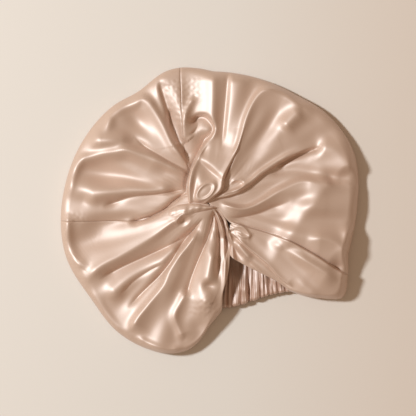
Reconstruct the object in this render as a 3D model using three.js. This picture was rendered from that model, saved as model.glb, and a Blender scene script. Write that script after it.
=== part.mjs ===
// Satin sleep bonnet with a twisted front, lying on its back with the twist on top.
// Millimetres and degrees, +Z up, the origin under the middle of its box,
// +Y towards the top of the crown. The folds of the cloth fan out from the twist,
// so most places are given by a bearing (counter-clockwise from +X) and a reach from it.
import * as THREE from "three";

// ---- Driving dimensions ----
const WALL = 1.5; // of every piece of cloth
const GAP = 0.3; // between neighbouring pieces
const TWIST = { x: 0.42, y: 5.94 }; // where all folds meet
const EDGE_HEIGHT = 10; // of the rounded outer edge
const EDGE_ROUND = 6; // how far the outer edge rounds over
const LIP = 4; // cloth that turns under, inside the outer edge
const SHOULDER_HEIGHT = 18; // of the cloth between edge and twist
const CREST_HEIGHT = 25; // of the cloth beside the twist
const CREST_SHARE = 0.45; // the share of the reach in which the cloth climbs to the twist
const SHOULDER_POWER = 5; // the higher, the later the shoulder falls to the edge
const FOLDS_FLATTEN = 18; // the folds fade out over this distance before the edge
const NARROWEST_FOLD = 0.45; // a fold's width at the twist, as a share of its full width
const FULL_WIDTH_REACH = 90; // from here outwards a fold has its full width
const FOLD_FADE = 0.25; // the share of a fold's length in which it fades at each end
const COLUMN_STEP = 3.5; // degrees between the columns of a panel
const FEWEST_COLUMNS = 8; // of the narrowest panel
const START_REACH = 7; // of the first row of a panel
const DOME_ROWS = 10;
const ROW_GROWTH = 1.25; // the rows spread out away from the twist
const EDGE_ROWS = 4;

// The brim stands up over the head opening.
const BRIM_LIFT = { bearing: 295, reach: 82, rise: 6, spread: 32, depth: 34 };

const SATIN = { color: 0xc49a80, roughness: 0.32, metalness: 0.15 };
const SATIN_SHADE = { color: 0xb58a70, roughness: 0.35, metalness: 0.15 };
const ELASTIC_RUCHE = { color: 0xa87c62, roughness: 0.4, metalness: 0.1 };

// ---- Outline: how far the cloth reaches from the twist ----
const OUTLINE = [
  { bearing: -47, reach: 131.6 },
  { bearing: -44, reach: 146 },
  { bearing: -40, reach: 162 },
  { bearing: -35, reach: 180 },
  { bearing: -27, reach: 173 },
  { bearing: -19, reach: 164 },
  { bearing: -1, reach: 164.5 },
  { bearing: 20, reach: 171 },
  { bearing: 37, reach: 166 },
  { bearing: 54, reach: 155.5 },
  { bearing: 87, reach: 149.5 },
  { bearing: 95, reach: 153.5 },
  { bearing: 102, reach: 157 },
  { bearing: 109, reach: 157 },
  { bearing: 122, reach: 150 },
  { bearing: 135, reach: 155 },
  { bearing: 155, reach: 159.5 },
  { bearing: 171, reach: 163 },
  { bearing: 199, reach: 170.7 },
  { bearing: 218, reach: 169 },
  { bearing: 235, reach: 175.5 },
  { bearing: 251, reach: 174 },
  { bearing: 260, reach: 166 },
  { bearing: 265, reach: 154 },
  { bearing: 270, reach: 134.5 },
  { bearing: 276.5, reach: 118.4 },
];

// ---- Seams and brims: the bearing of each edge of a panel, by reach ----
const EDGES = {
  left_brim: [
    { reach: 7, bearing: 333 },
    { reach: 27, bearing: 315 },
    { reach: 40, bearing: 302 },
    { reach: 60, bearing: 291.6 },
    { reach: 74, bearing: 286.4 },
    { reach: 97, bearing: 278.6 },
    { reach: 118.4, bearing: 276.5 },
  ],
  left_seam: [
    { reach: 7, bearing: 150 },
    { reach: 28, bearing: 158.5 },
    { reach: 37, bearing: 175 },
    { reach: 50, bearing: 184.4 },
    { reach: 73, bearing: 192 },
    { reach: 108, bearing: 189.3 },
    { reach: 167, bearing: 186 },
  ],
  centre_seam: [
    { reach: 7, bearing: 126 },
    { reach: 48, bearing: 119.5 },
    { reach: 76, bearing: 113 },
    { reach: 117, bearing: 105.7 },
    { reach: 157, bearing: 102.2 },
  ],
  right_seam: [
    { reach: 7, bearing: -24 },
    { reach: 28, bearing: -40 },
    { reach: 51, bearing: -29 },
    { reach: 88, bearing: -24.2 },
    { reach: 127, bearing: -25 },
    { reach: 173, bearing: -27 },
  ],
  right_brim: [
    { reach: 32, bearing: -47 },
    { reach: 60, bearing: -66 },
    { reach: 72, bearing: -62.2 },
    { reach: 88, bearing: -55.3 },
    { reach: 111, bearing: -49.1 },
    { reach: 131.6, bearing: -47 },
  ],
};

// ---- Panels: each spans from one edge, counter-clockwise, to another, ----
// ---- and begins at a row counted outwards from the twist ----
const PANELS = [
  { name: "crown_left", from: "centre_seam", to: "left_seam", first: 1 },
  { name: "crown_right", from: "right_seam", to: "centre_seam", first: 0 },
  { name: "front_band_left", from: "left_seam", to: "left_brim", first: 0 },
  { name: "front_band_right", from: "right_brim", to: "right_seam", first: 3 },
];

// ---- Folds: a row for each. Its bearing near the twist, midway and at its far end, ----
// ---- where it starts and stops, its rise (below 0 for a crease) and its width each way ----
const FOLDS = [
  { near: 88, mid: 89, far: 89, start: 80, stop: 152, rise: 4, ccw: 13, cw: 6 },
  { near: 78, mid: 81, far: 83, start: 70, stop: 152, rise: -3, ccw: 5, cw: 8 },
  { near: 98, mid: 98, far: 98, start: 52, stop: 100, rise: -5, ccw: 8, cw: 7 },
  { near: 56, mid: 65, far: 67, start: 24, stop: 140, rise: 5, ccw: 7, cw: 13 },
  { near: 50, mid: 55, far: 57, start: 80, stop: 146, rise: -3.5, ccw: 9, cw: 10 },
  { near: 20, mid: 27, far: 27, start: 16, stop: 150, rise: -4, ccw: 4, cw: 9 },
  { near: 36, mid: 34, far: 33, start: 24, stop: 140, rise: 3, ccw: 14, cw: 9 },
  { near: 6, mid: 13, far: 14, start: 24, stop: 120, rise: 4, ccw: 8, cw: 8 },
  { near: -26, mid: -3, far: 9, start: 24, stop: 116, rise: -4.5, ccw: 7, cw: 9 },
  { near: -14, mid: -13, far: -12, start: 70, stop: 160, rise: 4, ccw: 22, cw: 18 },
  { near: -38, mid: -26, far: -26, start: 24, stop: 176, rise: -4, ccw: 7, cw: 4 },
  { near: -40, mid: -35, far: -34, start: 36, stop: 172, rise: 3, ccw: 8, cw: 12 },
  { near: 122, mid: 116.5, far: 112, start: 30, stop: 146, rise: -4, ccw: 4, cw: 5 },
  { near: 125, mid: 121.5, far: 123, start: 44, stop: 146, rise: 4, ccw: 5, cw: 4 },
  { near: 129, mid: 130, far: 131, start: 80, stop: 144, rise: -4, ccw: 13, cw: 9 },
  { near: 127, mid: 136, far: 141, start: 36, stop: 112, rise: -4, ccw: 5, cw: 5 },
  { near: 141, mid: 147, far: 149, start: 60, stop: 156, rise: 4, ccw: 15, cw: 14 },
  { near: 152, mid: 158, far: 163, start: 36, stop: 134, rise: -3.5, ccw: 10, cw: 9 },
  { near: 150, mid: 169, far: 174, start: 30, stop: 140, rise: 4, ccw: 7, cw: 10 },
  { near: 160, mid: 177, far: 181, start: 32, stop: 116, rise: -3.5, ccw: 4, cw: 4 },
  { near: 176, mid: 190, far: 193, start: 34, stop: 96, rise: -4.5, ccw: 4, cw: 5 },
  { near: 196, mid: 211, far: 212, start: 36, stop: 166, rise: 4.5, ccw: 8, cw: 14 },
  { near: 234, mid: 220, far: 214, start: 34, stop: 152, rise: -4, ccw: 6, cw: 6 },
  { near: 236, mid: 226, far: 225, start: 40, stop: 160, rise: 4, ccw: 12, cw: 10 },
  { near: 238, mid: 236, far: 233, start: 24, stop: 122, rise: -4, ccw: 4, cw: 5 },
  { near: 243, mid: 239, far: 239, start: 36, stop: 172, rise: 5, ccw: 12, cw: 5 },
  { near: 264, mid: 258, far: 252, start: 26, stop: 112, rise: -4, ccw: 5, cw: 6 },
  { near: 270, mid: 266, far: 264, start: 40, stop: 128, rise: 3.5, ccw: 10, cw: 9 },
  { near: 287, mid: 279, far: 275, start: 22, stop: 84, rise: -3, ccw: 3, cw: 4 },
];

const OVER_CLOTH = WALL + 4 * GAP; // top of a piece that lies on the panels, at its sides

// ---- The loop that comes down over the twist, by distance above it ----
const LOOP = [
  { y: 4, left: -25, right: 0, rise: 8 },
  { y: 17, left: -26, right: 14, rise: 11 },
  { y: 31, left: -23, right: 16, rise: 9 },
  { y: 46, left: -19, right: 23, rise: 10 },
  { y: 60, left: -13, right: 31, rise: 7 },
  { y: 77, left: -4, right: 36, rise: 3 },
];
const LOOP_ROWS = 14;
const LOOP_COLUMNS = 12;

// ---- The gathered collar that the loop dives under, by distance beside the twist ----
const COLLAR = [
  { x: -48, low: -18, high: -8, rise: 3 },
  { x: -30, low: -16, high: 0, rise: 6 },
  { x: -12, low: -15, high: 2, rise: 8 },
  { x: 9, low: -10, high: 0, rise: 5 },
];
const COLLAR_ROWS = 28;
const COLLAR_COLUMNS = 8;
const COLLAR_GATHERS = 6;
const COLLAR_GATHER_RISE = 0.8;

// ---- The nape: cloth ruched on elastic, from its hem inwards ----
const NAPE_HEM = { left: [15.5, -112.5], right: [81.5, -98.6] };
const NAPE_INSIDE = { left: [5, -50], right: [81.5, -50] };
const NAPE_PLEATS = 8;
const NAPE_PLEAT_RISE = 1.5;
const NAPE_HEM_HEIGHT = 5;
const NAPE_HEM_BOW = 3;
const NAPE_FALL = { from: 0.1, to: 0.8 }; // the share of the way inwards in which it lies down
const NAPE_PLEAT_LOSS = 0.8; // how much flatter the pleats are at the inner end
const NAPE_COLUMNS = 48;
const NAPE_ROWS = 7;

// ---- The back of the crown, by bearing ----
const BACK_EDGE_FROM = -38.5;
const BACK_EDGE_TO = 273;
const BACK_CLEARANCE = 0.9; // from the turned-under edge and the nape
const BACK_CORNER = { bearing: -44, reach: 118 }; // beside the nape's hem

// ---- Small maths ----
const RADIAN = Math.PI / 180;
const lerp = THREE.MathUtils.lerp;
const smoothstep = THREE.MathUtils.smoothstep;

// A smooth curve through the rows of a table, from one column to another.
function through(rows, input, output, value) {
  const last = rows.length - 1;
  const at = THREE.MathUtils.clamp(value, rows[0][input], rows[last][input]);
  let i = 0;
  while (i < last - 1 && at > rows[i + 1][input]) i += 1;
  const slope = (a, b) => (b[output] - a[output]) / (b[input] - a[input]);
  const span = rows[i + 1][input] - rows[i][input];
  const t = (at - rows[i][input]) / span;
  const startSlope = slope(rows[Math.max(i - 1, 0)], rows[i + 1]);
  const endSlope = slope(rows[i], rows[Math.min(i + 2, last)]);
  const start = rows[i][output];
  const end = rows[i + 1][output];
  const bend = (1 - t) * (startSlope * span - (end - start)) + t * (end - start - endSlope * span);
  return lerp(start, end, t) + t * (1 - t) * bend;
}

const outlineReach = (bearing) => through(OUTLINE, "bearing", "reach", bearing);

// A place by bearing and reach from the twist, at a height.
function polar(bearing, reach, height) {
  const angle = bearing * RADIAN;
  const x = TWIST.x + reach * Math.cos(angle);
  const y = TWIST.y + reach * Math.sin(angle);
  return new THREE.Vector3(x, y, height);
}

// ---- Height of the cloth over the surface that it lies on ----
function foldHeight(fold, bearing, reach) {
  const share = (reach - fold.start) / (fold.stop - fold.start);
  if (share <= 0 || share >= 1) return 0;
  const fade = smoothstep(share, 0, FOLD_FADE) * smoothstep(1 - share, 0, FOLD_FADE);
  const bend = 4 * fold.mid - 2 * (fold.near + fold.far);
  const centre = lerp(fold.near, fold.far, share) + bend * share * (1 - share);
  const turn = THREE.MathUtils.euclideanModulo(bearing - centre + 180, 360) - 180;
  const aside = turn * RADIAN * reach;
  const widening = lerp(NARROWEST_FOLD, 1, Math.min(1, reach / FULL_WIDTH_REACH));
  const width = widening * (aside > 0 ? fold.ccw : fold.cw);
  return fold.rise * fade * Math.exp(-((aside / width) ** 2));
}

function brimLift(bearing, reach) {
  const turn = THREE.MathUtils.euclideanModulo(bearing - BRIM_LIFT.bearing + 180, 360) - 180;
  const aside = turn / BRIM_LIFT.spread;
  const along = (reach - BRIM_LIFT.reach) / BRIM_LIFT.depth;
  return BRIM_LIFT.rise * Math.exp(-(aside ** 2) - along ** 2);
}

function clothHeight(bearing, reach, full) {
  const share = reach / full;
  const shoulder = (SHOULDER_HEIGHT - EDGE_HEIGHT) * (1 - share ** SHOULDER_POWER);
  const crest = (CREST_HEIGHT - SHOULDER_HEIGHT) * (1 - smoothstep(share, 0, CREST_SHARE));
  const folds = FOLDS.reduce((sum, fold) => sum + foldHeight(fold, bearing, reach), 0);
  const flatten = smoothstep(full - reach, 0, FOLDS_FLATTEN);
  return EDGE_HEIGHT + shoulder + crest + folds * flatten + brimLift(bearing, reach);
}

// The same height, by distances beside and above the twist.
function clothHeightAt(x, y) {
  const raw = Math.atan2(y, x) / RADIAN;
  const bearing = raw < OUTLINE[0].bearing ? raw + 360 : raw;
  return clothHeight(bearing, Math.hypot(x, y), outlineReach(bearing));
}

// ---- A closed wall of cloth under a grid of points, whose faces look out ----
function wallOf(grid, thickness = WALL) {
  const rows = grid.length;
  const columns = grid[0].length;
  const normalAt = (i, j) => {
    const along = grid[Math.min(i + 1, rows - 1)][j].clone().sub(grid[Math.max(i - 1, 0)][j]);
    const across = grid[i][Math.min(j + 1, columns - 1)].clone().sub(grid[i][Math.max(j - 1, 0)]);
    if (i === 0 || i === rows - 1) along.z = 0; // a side edge is cut straight down
    return along.cross(across).normalize();
  };
  const under = grid.map((row, i) =>
    row.map((point, j) => point.clone().addScaledVector(normalAt(i, j), -thickness)),
  );
  const points = [...grid.flat(), ...under.flat()];
  const faces = [];
  const quad = (a, b, c, d) => faces.push(a, b, c, a, c, d);
  const outer = (i, j) => i * columns + j;
  const inner = (i, j) => rows * columns + i * columns + j;
  for (let i = 0; i < rows - 1; i += 1) {
    for (let j = 0; j < columns - 1; j += 1) {
      quad(outer(i, j), outer(i + 1, j), outer(i + 1, j + 1), outer(i, j + 1));
      quad(inner(i, j), inner(i, j + 1), inner(i + 1, j + 1), inner(i + 1, j));
    }
    quad(outer(i, 0), inner(i, 0), inner(i + 1, 0), outer(i + 1, 0));
    quad(outer(i, columns - 1), outer(i + 1, columns - 1), inner(i + 1, columns - 1), inner(i, columns - 1));
  }
  for (let j = 0; j < columns - 1; j += 1) {
    quad(outer(0, j), outer(0, j + 1), inner(0, j + 1), inner(0, j));
    quad(outer(rows - 1, j), inner(rows - 1, j), inner(rows - 1, j + 1), outer(rows - 1, j + 1));
  }
  const geometry = new THREE.BufferGeometry().setFromPoints(points);
  geometry.setIndex(faces);
  geometry.computeVertexNormals();
  return geometry;
}

// ---- Panels of the crown and the front band ----
// A column runs out from the twist over the dome, round the outer edge and under it.
function panelColumn(panel, share) {
  const from = EDGES[panel.from];
  const to = EDGES[panel.to];
  const fromEnd = from.at(-1);
  const toEnd = to.at(-1);
  const full = outlineReach(lerp(fromEnd.bearing, toEnd.bearing, share));
  const inset = (GAP / 2) / RADIAN;
  const bearingAt = (reach) => {
    const out = (reach - START_REACH) / (full - START_REACH);
    const fromReach = lerp(START_REACH, fromEnd.reach, out);
    const toReach = lerp(START_REACH, toEnd.reach, out);
    const first = through(from, "reach", "bearing", fromReach) + inset / reach;
    const second = through(to, "reach", "bearing", toReach) - inset / reach;
    return lerp(first, second, share);
  };
  const crownEnd = full - EDGE_ROUND;
  const column = [];
  for (let k = panel.first; k <= DOME_ROWS; k += 1) {
    const reach = lerp(START_REACH, crownEnd, (k / DOME_ROWS) ** ROW_GROWTH);
    const bearing = bearingAt(reach);
    column.push(polar(bearing, reach, clothHeight(bearing, reach, full)));
  }
  const radius = column.at(-1).z / 2;
  const bearing = bearingAt(full);
  for (let k = 1; k <= EDGE_ROWS; k += 1) {
    const angle = (0.5 - k / EDGE_ROWS) * Math.PI;
    const reach = crownEnd + EDGE_ROUND * Math.cos(angle);
    column.push(polar(bearing, reach, radius * (1 + Math.sin(angle))));
  }
  column.push(polar(bearing, crownEnd - LIP, 0));
  return column;
}

function panelGeometry(panel) {
  const span = EDGES[panel.to].at(-1).bearing - EDGES[panel.from].at(-1).bearing;
  const columns = Math.max(FEWEST_COLUMNS, Math.round(span / COLUMN_STEP));
  const grid = [];
  for (let i = 0; i <= columns; i += 1) grid.push(panelColumn(panel, i / columns));
  grid.reverse();
  return wallOf(grid);
}

// ---- The loop over the twist ----
const archOver = (share) => 1 - (2 * share - 1) ** 2;

function loopGeometry() {
  const grid = [];
  for (let i = 0; i <= LOOP_ROWS; i += 1) {
    const y = lerp(LOOP[0].y, LOOP.at(-1).y, i / LOOP_ROWS);
    const left = through(LOOP, "y", "left", y);
    const right = through(LOOP, "y", "right", y);
    const rise = through(LOOP, "y", "rise", y);
    const row = [];
    for (let j = 0; j <= LOOP_COLUMNS; j += 1) {
      const x = lerp(left, right, j / LOOP_COLUMNS);
      const height = clothHeightAt(x, y) + OVER_CLOTH + rise * archOver(j / LOOP_COLUMNS);
      row.push(new THREE.Vector3(TWIST.x + x, TWIST.y + y, height));
    }
    grid.push(row);
  }
  grid.reverse();
  return wallOf(grid);
}

// ---- The gathered collar ----
function collarGeometry() {
  const grid = [];
  for (let i = 0; i <= COLLAR_ROWS; i += 1) {
    const x = lerp(COLLAR[0].x, COLLAR.at(-1).x, i / COLLAR_ROWS);
    const low = through(COLLAR, "x", "low", x);
    const high = through(COLLAR, "x", "high", x);
    const gather = Math.sin((i / COLLAR_ROWS) * COLLAR_GATHERS * 2 * Math.PI);
    const rise = through(COLLAR, "x", "rise", x) + COLLAR_GATHER_RISE * gather;
    const row = [];
    for (let j = 0; j <= COLLAR_COLUMNS; j += 1) {
      const y = lerp(low, high, j / COLLAR_COLUMNS);
      const height = clothHeightAt(x, y) + OVER_CLOTH + rise * archOver(j / COLLAR_COLUMNS);
      row.push(new THREE.Vector3(TWIST.x + x, TWIST.y + y, height));
    }
    grid.push(row);
  }
  return wallOf(grid);
}

// ---- The ruched nape ----
function napeGeometry() {
  const grid = [];
  const corner = ([x, y]) => new THREE.Vector3(TWIST.x + x, TWIST.y + y, 0);
  for (let i = 0; i <= NAPE_COLUMNS; i += 1) {
    const share = i / NAPE_COLUMNS;
    const pleat = Math.cos(share * NAPE_PLEATS * 2 * Math.PI);
    const hem = corner(NAPE_HEM.left).lerp(corner(NAPE_HEM.right), share);
    const inside = corner(NAPE_INSIDE.left).lerp(corner(NAPE_INSIDE.right), share);
    hem.y -= NAPE_HEM_BOW * Math.sin(share * Math.PI);
    const row = [];
    for (let j = 0; j <= NAPE_ROWS; j += 1) {
      const inward = j / NAPE_ROWS;
      const point = hem.clone().lerp(inside, inward);
      const down = smoothstep(inward, NAPE_FALL.from, NAPE_FALL.to);
      const tall = lerp(NAPE_HEM_HEIGHT, WALL + NAPE_PLEAT_RISE, down);
      point.z = tall + NAPE_PLEAT_RISE * pleat * (1 - NAPE_PLEAT_LOSS * inward);
      row.push(point);
    }
    const foot = hem.clone();
    foot.z = 0;
    grid.push([foot, ...row]);
  }
  return wallOf(grid);
}

// ---- The back of the crown, flat on the surface ----
function backGeometry() {
  const shape = new THREE.Shape();
  const inset = EDGE_ROUND + LIP + BACK_CLEARANCE;
  for (let bearing = BACK_EDGE_FROM; bearing <= BACK_EDGE_TO; bearing += COLUMN_STEP) {
    const point = polar(bearing, outlineReach(bearing) - inset, 0);
    if (bearing === BACK_EDGE_FROM) shape.moveTo(point.x, point.y);
    else shape.lineTo(point.x, point.y);
  }
  const [leftX, leftY] = NAPE_INSIDE.left;
  const [rightX, rightY] = NAPE_INSIDE.right;
  shape.lineTo(TWIST.x + leftX - BACK_CLEARANCE, TWIST.y + leftY + BACK_CLEARANCE);
  shape.lineTo(TWIST.x + rightX + BACK_CLEARANCE, TWIST.y + rightY + BACK_CLEARANCE);
  const corner = polar(BACK_CORNER.bearing, BACK_CORNER.reach, 0);
  shape.lineTo(corner.x, corner.y);
  return new THREE.ExtrudeGeometry(shape, { depth: WALL, bevelEnabled: false });
}

// ---- Assembly ----
const bonnet = new THREE.Group();
bonnet.name = "sleep_bonnet";

function addPiece(name, geometry, finish) {
  const piece = new THREE.Mesh(geometry, new THREE.MeshStandardMaterial(finish));
  piece.name = name;
  bonnet.add(piece);
}

for (const panel of PANELS) addPiece(panel.name, panelGeometry(panel), SATIN);
addPiece("twist_loop", loopGeometry(), SATIN);
addPiece("knot_collar", collarGeometry(), SATIN);
addPiece("nape_casing", napeGeometry(), ELASTIC_RUCHE);
addPiece("back_panel", backGeometry(), SATIN_SHADE);

export default bonnet;
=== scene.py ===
"""Builds the looks of a satin sleep bonnet with a twisted front, lying on its back.

The folds of the cloth fan out from the twist. Their places are given by a bearing in
degrees, counter-clockwise from +X about the twist, and a reach from it in millimetres.
Meshes are made in metres in the frame's own coordinates.
"""
import logging
import math
from dataclasses import dataclass
from enum import Enum
from functools import cache
from typing import Sequence

import bpy
import numpy as np
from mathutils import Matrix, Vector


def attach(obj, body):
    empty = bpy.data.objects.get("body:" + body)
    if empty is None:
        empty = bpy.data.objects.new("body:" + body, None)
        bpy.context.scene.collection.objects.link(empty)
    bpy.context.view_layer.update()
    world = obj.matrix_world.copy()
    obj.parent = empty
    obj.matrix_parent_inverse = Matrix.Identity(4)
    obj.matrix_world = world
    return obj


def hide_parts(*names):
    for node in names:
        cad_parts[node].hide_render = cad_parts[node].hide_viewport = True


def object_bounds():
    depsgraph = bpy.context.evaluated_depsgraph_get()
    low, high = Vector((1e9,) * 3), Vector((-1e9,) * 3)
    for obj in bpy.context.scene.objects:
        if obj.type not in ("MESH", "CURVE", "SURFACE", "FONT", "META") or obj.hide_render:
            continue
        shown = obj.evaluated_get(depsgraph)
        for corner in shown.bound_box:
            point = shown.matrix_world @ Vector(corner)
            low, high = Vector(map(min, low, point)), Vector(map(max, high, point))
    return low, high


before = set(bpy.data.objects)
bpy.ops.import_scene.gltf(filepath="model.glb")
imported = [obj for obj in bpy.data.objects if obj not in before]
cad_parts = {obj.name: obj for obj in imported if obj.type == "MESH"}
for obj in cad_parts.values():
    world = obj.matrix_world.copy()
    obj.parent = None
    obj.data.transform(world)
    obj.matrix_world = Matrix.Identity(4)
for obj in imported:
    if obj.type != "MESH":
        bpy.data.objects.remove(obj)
CAD_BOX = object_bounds()

logging.basicConfig(level=logging.INFO, format="%(message)s")
LOG = logging.getLogger("bonnet")

Array = np.ndarray
MM = 0.001
BODY = "root"

# Sizes of the cloth, in millimetres.
CLOTH = 0.7
EDGE_HEIGHT = 5.5
EDGE_UNDER = 6.0  # how far the outer edge rolls in under itself
UNDER_LIP = 5.0
SHOULDER_HEIGHT = 21.0
SHOULDER_FALL = 3.0  # from the twist to the outer edge
CREST_HEIGHT = 26.0
CREST_SHARE = 0.45
START_REACH = 7.0
FULL_WIDTH_REACH = 90.0
NARROWEST_FOLD = 0.42
FOLDS_END, FOLDS_FULL = -6.0, 12.0  # in from the outer edge, where folds flatten out
UNDER_ROWS = 3  # of faces, under the outer edge
OUTLINE_STEPS = 1500

# Sections of folds. A rounding is the square of a share of the fold's width.
CREASE_ROUNDING = 0.04
LIP_ROUNDING = 0.0144
TUCK_EDGE = 2.4  # how far the upper layer's edge rounds over
TUCK_SINK = 0.45  # how far the lower layer sinks, for a rise of 1
TUCK_STEP = 0.5  # how far the step between the layers spreads

# Folds that follow a curve.
CREST_PLACES = 70
CREST_ROOM = 4.5  # how far they are worked out, in widths
SOFTEST_TURN = 0.22  # how far, by its distance, a place takes from a fold's other stretches
CLOSEST_TURN = 0.3  # the same, in millimetres, for a place on the fold's own line
PAST_END = 6.0  # how far they run out past their ends

# Rims of dents and marks, in shares of their size.
RIM_FACES = 140.0  # the bearing on which the rim of a dent is highest
RIM_LEAST = 0.3
DENT_RIM_AT, DENT_RIM_WIDTH = 1.25, 0.36
MARK_RIM_AT, MARK_RIM_WIDTH = 1.0, 0.24

# Small waves of the cloth.
FAN_COUNTS = (11, 17, 23, 29, 37)
FAN_HEIGHT = 17.0  # shared out by the count of waves
FAN_TWIST = 28.0
FAN_START, FAN_FULL = 30, 130
GATHER_COUNTS = (47, 61, 83)
GATHER_HEIGHT = 0.03
GATHER_TWIST = 30.0
GATHER_START, GATHER_FULL, GATHER_FADE, GATHER_END = 10, 22, 38, 82
PUCKER_COUNT = 12
PUCKER_TURN = 1.15  # radians a millimetre
PUCKER_SPREAD = 3.0
PUCKER_FADE = 12.0


# ---------------- tables
@dataclass(frozen=True)
class Row:
    """One row of a two-column table: a place along something, and the value there."""

    at: float
    value: float


def table_of(*pairs: tuple[float, float]) -> tuple[Row, ...]:
    """Makes a table from pairs of place and value."""
    return tuple(Row(*pair) for pair in pairs)


def through(table: Sequence[Row], at: Array) -> Array:
    """Follows a smooth curve through the rows of a table.

    Args:
        table: the rows, in rising order of place.
        at: the places to read.

    Returns:
        The value at each place, held at both ends of the table.
    """
    xs = np.array([row.at for row in table])
    ys = np.array([row.value for row in table])
    at = np.clip(at, xs[0], xs[-1])
    i = np.clip(np.searchsorted(xs, at, side="right") - 1, 0, len(xs) - 2)
    before, after = np.maximum(i - 1, 0), np.minimum(i + 2, len(xs) - 1)
    span = xs[i + 1] - xs[i]
    t = (at - xs[i]) / span
    rise = ys[i + 1] - ys[i]
    first = (ys[i + 1] - ys[before]) / (xs[i + 1] - xs[before]) * span
    second = (ys[after] - ys[i]) / (xs[after] - xs[i]) * span
    bend = (1 - t) * (first - rise) + t * (rise - second)
    return ys[i] + rise * t + t * (1 - t) * bend


def smooth(value: Array, low: float, high: float) -> Array:
    """Rises smoothly from 0 at low to 1 at high."""
    t = np.clip((value - low) / (high - low), 0.0, 1.0)
    return t * t * (3 - 2 * t)


def rounded(inwards: Array, radius: float | Array) -> Array:
    """Rises from 0 at an edge to 1 a radius inwards, as a quarter of a circle does."""
    return np.sqrt(1 - np.clip(1 - inwards / radius, 0, 1) ** 2)


def peaked(far: Array, rounding: float) -> Array:
    """Falls away on both sides of a sharp peak of 1 with a little rounding."""
    return np.exp(math.sqrt(rounding) - np.sqrt(far**2 + rounding))


def ring(far: Array, at: float, width: float) -> Array:
    """Stands up to 1 at a distance, and falls away over a width."""
    return np.exp(-(((far - at) / width) ** 2))


def growth(reach: Array) -> Array:
    """Gives the share of its full width that a fold has at a reach from the twist."""
    return NARROWEST_FOLD + (1 - NARROWEST_FOLD) * np.minimum(1.0, reach / FULL_WIDTH_REACH)


def turn_between(bearing: Array, centre: Array) -> Array:
    """Gives the shortest turn from centre to bearing, in degrees."""
    return (bearing - centre + 180.0) % 360.0 - 180.0


# ---------------- outline and seams
# bearing, reach
OUTLINE = table_of(
    (-47, 131.6), (-44, 146), (-40, 162), (-35, 180), (-27, 173), (-19, 164), (-1, 164.5),
    (20, 171), (37, 166), (54, 155.5), (87, 149.5), (95, 153.5), (102, 157), (109, 157),
    (122, 150), (135, 155), (155, 159.5), (171, 163), (199, 170.7), (218, 169), (235, 175.5),
    (251, 174), (260, 166), (265, 154), (270, 134.5), (276.5, 118.4),
)

# bearing, how far the cloth takes to fall to its outer edge
EDGE_FALL = table_of(
    (-47, 10), (-30, 12), (0, 12), (60, 14), (95, 16), (120, 24), (138, 20), (160, 13),
    (180, 11), (205, 12), (225, 11), (245, 9), (276, 8),
)

# reach, bearing
LEFT_BRIM = table_of(
    (7, 333), (27, 315), (40, 302), (60, 291.6), (74, 286.4), (97, 278.6), (118.4, 276.5)
)
LEFT_SEAM = table_of(
    (7, 150), (28, 158.5), (37, 175), (50, 184.4), (73, 192), (108, 189.3), (167, 186)
)
CENTRE_SEAM = table_of((7, 126), (48, 119.5), (76, 113), (117, 105.7), (157, 102.2))
RIGHT_SEAM = table_of(
    (7, -27.5), (20, -39), (30, -41), (51, -29), (88, -24.2), (127, -25), (173, -27)
)
RIGHT_BRIM = table_of(
    (31, -44.5), (36, -54), (40, -58.2), (50, -64.6), (60, -68), (72, -62.2), (88, -55.3),
    (111, -49.1), (131.6, -47),
)


# ---------------- folds
class Form(Enum):
    """How the cloth is shaped across a fold."""

    ROLL = "a rounded ridge, or a soft valley where it goes down"
    CREASE = "a sharp valley"
    TUCK = "one layer lapped over the next, high on its left as it runs outwards"
    LIP = "a steep wall on the narrow side and a long slope on the wide one"


def section(form: Form, aside: Array, width: Array, wide_left: bool, sinks: bool) -> Array:
    """Gives the section of a fold for a rise of 1.

    Args:
        form: how the cloth is shaped across the fold.
        aside: distance from the fold's line, above 0 on its left.
        width: the fold's width on that side.
        wide_left: whether the wider side is the left one.
        sinks: whether the fold's rise is below 0.

    Returns:
        The height of the section at each place.
    """
    far = np.abs(aside) / width
    if form is Form.ROLL:
        return np.exp(-(far**2))
    if form is Form.CREASE:
        return peaked(far, CREASE_ROUNDING)
    if form is Form.LIP:
        wide = (aside > 0) == wide_left
        return np.where(wide, peaked(far, LIP_ROUNDING), np.exp(-(far**2)))
    upper = np.exp(-far) * rounded(np.abs(aside), TUCK_EDGE)
    lower = -TUCK_SINK * np.exp(-far)
    turn = -1 if sinks else 1
    side = (1 + np.tanh(turn * aside / TUCK_STEP)) / 2
    return turn * (upper * side + lower * (1 - side))


@dataclass(frozen=True)
class Fold:
    """A fold that runs outwards, from its bearing near the twist to that at its far end."""

    form: Form
    near: float
    mid: float
    far: float
    start: float
    stop: float
    rise: float
    ccw: float
    cw: float
    fade_in: float = 0.2
    fade_out: float = 0.25

    def height(self, bearing: Array, reach: Array) -> Array:
        """Gives what the fold adds to the height of the cloth.

        Args:
            bearing: of each place, in degrees.
            reach: from the twist, in millimetres.

        Returns:
            The height to add, in millimetres.
        """
        share = np.clip((reach - self.start) / (self.stop - self.start), 0.0, 1.0)
        fade = smooth(share, 0.0, self.fade_in) * smooth(1.0 - share, 0.0, self.fade_out)
        bend = 4 * self.mid - 2 * (self.near + self.far)
        centre = self.near + (self.far - self.near) * share + bend * share * (1 - share)
        aside = np.radians(turn_between(bearing, centre)) * reach
        width = growth(reach) * np.where(aside > 0, self.ccw, self.cw)
        shape = section(self.form, aside, width, self.ccw > self.cw, self.rise < 0)
        return self.rise * fade * shape


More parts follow.
